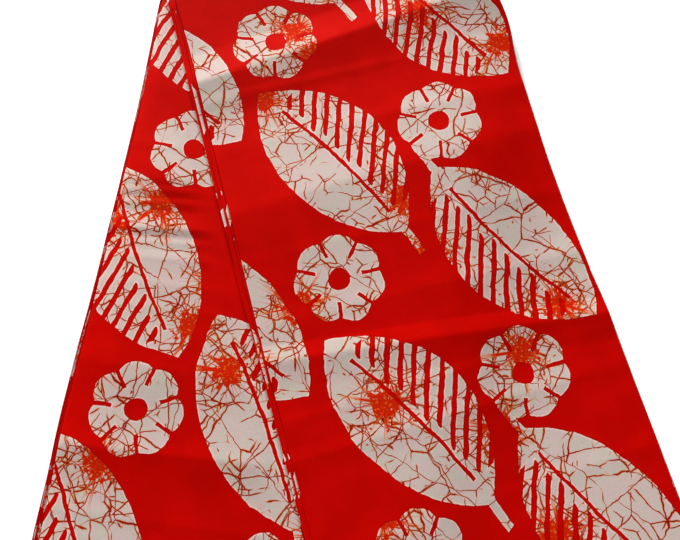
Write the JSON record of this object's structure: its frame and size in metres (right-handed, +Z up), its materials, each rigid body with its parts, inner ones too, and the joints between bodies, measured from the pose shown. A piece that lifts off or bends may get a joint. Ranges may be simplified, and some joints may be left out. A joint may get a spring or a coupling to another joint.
{
  "type": "folded wax print fabric",
  "caption": "Length of wax print cotton pleated into a long flat stack, turned over at its middle and laid flat with its two legs fanned out.",
  "frame": {"origin": "centre of the footprint of the folded cloth, on the surface it lies on", "axes": "+Y from the legs' ends to the fold line, +X to the right along the fold line towards the front leg's side, +Z up"},
  "size_m": [0.5534, 0.6192, 0.0206],
  "materials": {
    "print": "plain-woven cotton, red ground with off-white motifs, lightly glazed",
    "layers": "folded edges of the same printed cotton"
  },
  "bodies": {
    "root": {"rear_layers": "layers", "rear_panel": "print", "turn_layers": "layers", "front_layers": "layers", "front_panel": "print"}
  },
  "joints": []
}
